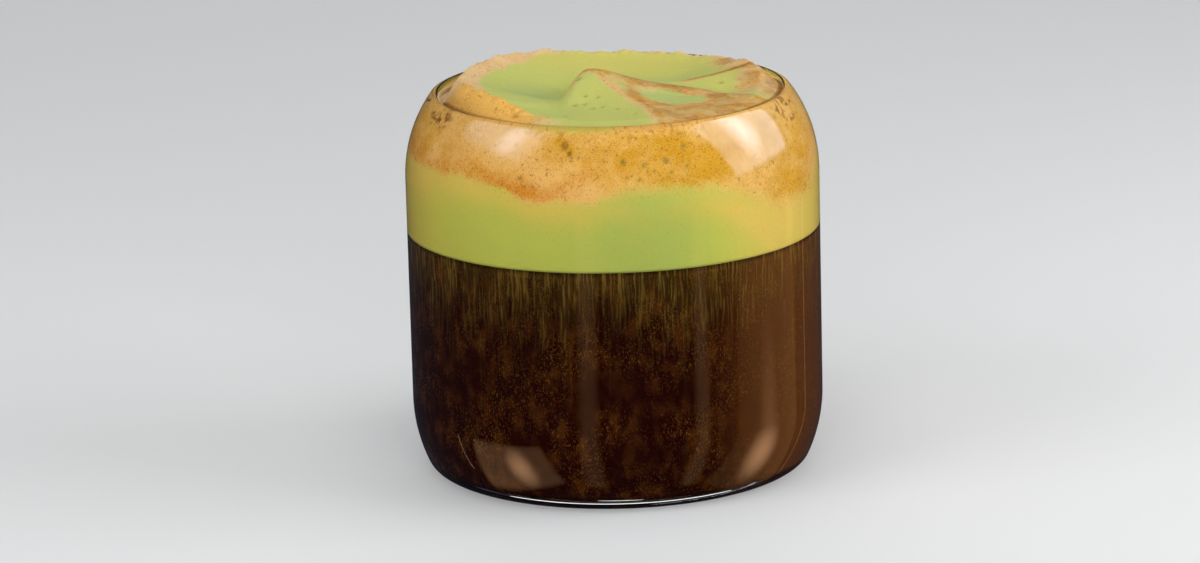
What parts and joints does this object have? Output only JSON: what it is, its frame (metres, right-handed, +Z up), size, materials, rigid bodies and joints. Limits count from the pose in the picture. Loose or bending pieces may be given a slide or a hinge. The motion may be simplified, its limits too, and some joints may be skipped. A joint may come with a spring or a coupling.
{
  "type": "coconut coffee in a glass",
  "caption": "Short round-shouldered glass of coffee under a deep pale-green coconut foam that is stained brown and stands over the rim.",
  "frame": {"origin": "middle of the flat underside of the glass", "axes": "+Z up along the axis of the glass; -Y is the side seen from the front, with the foam's long wave on the left (-X) and its lump on the right (+X)"},
  "size_m": [0.084, 0.084, 0.0819],
  "materials": {
    "glass": "clear, smooth, fire-rounded rim",
    "coffee": "dark brown with fine golden streaks under the foam",
    "foam": "fine satin foam, pale yellow-green marbled with tan and orange-brown"
  },
  "bodies": {
    "root": {"glass": "glass", "coffee": "coffee", "foam": "foam"}
  },
  "joints": []
}
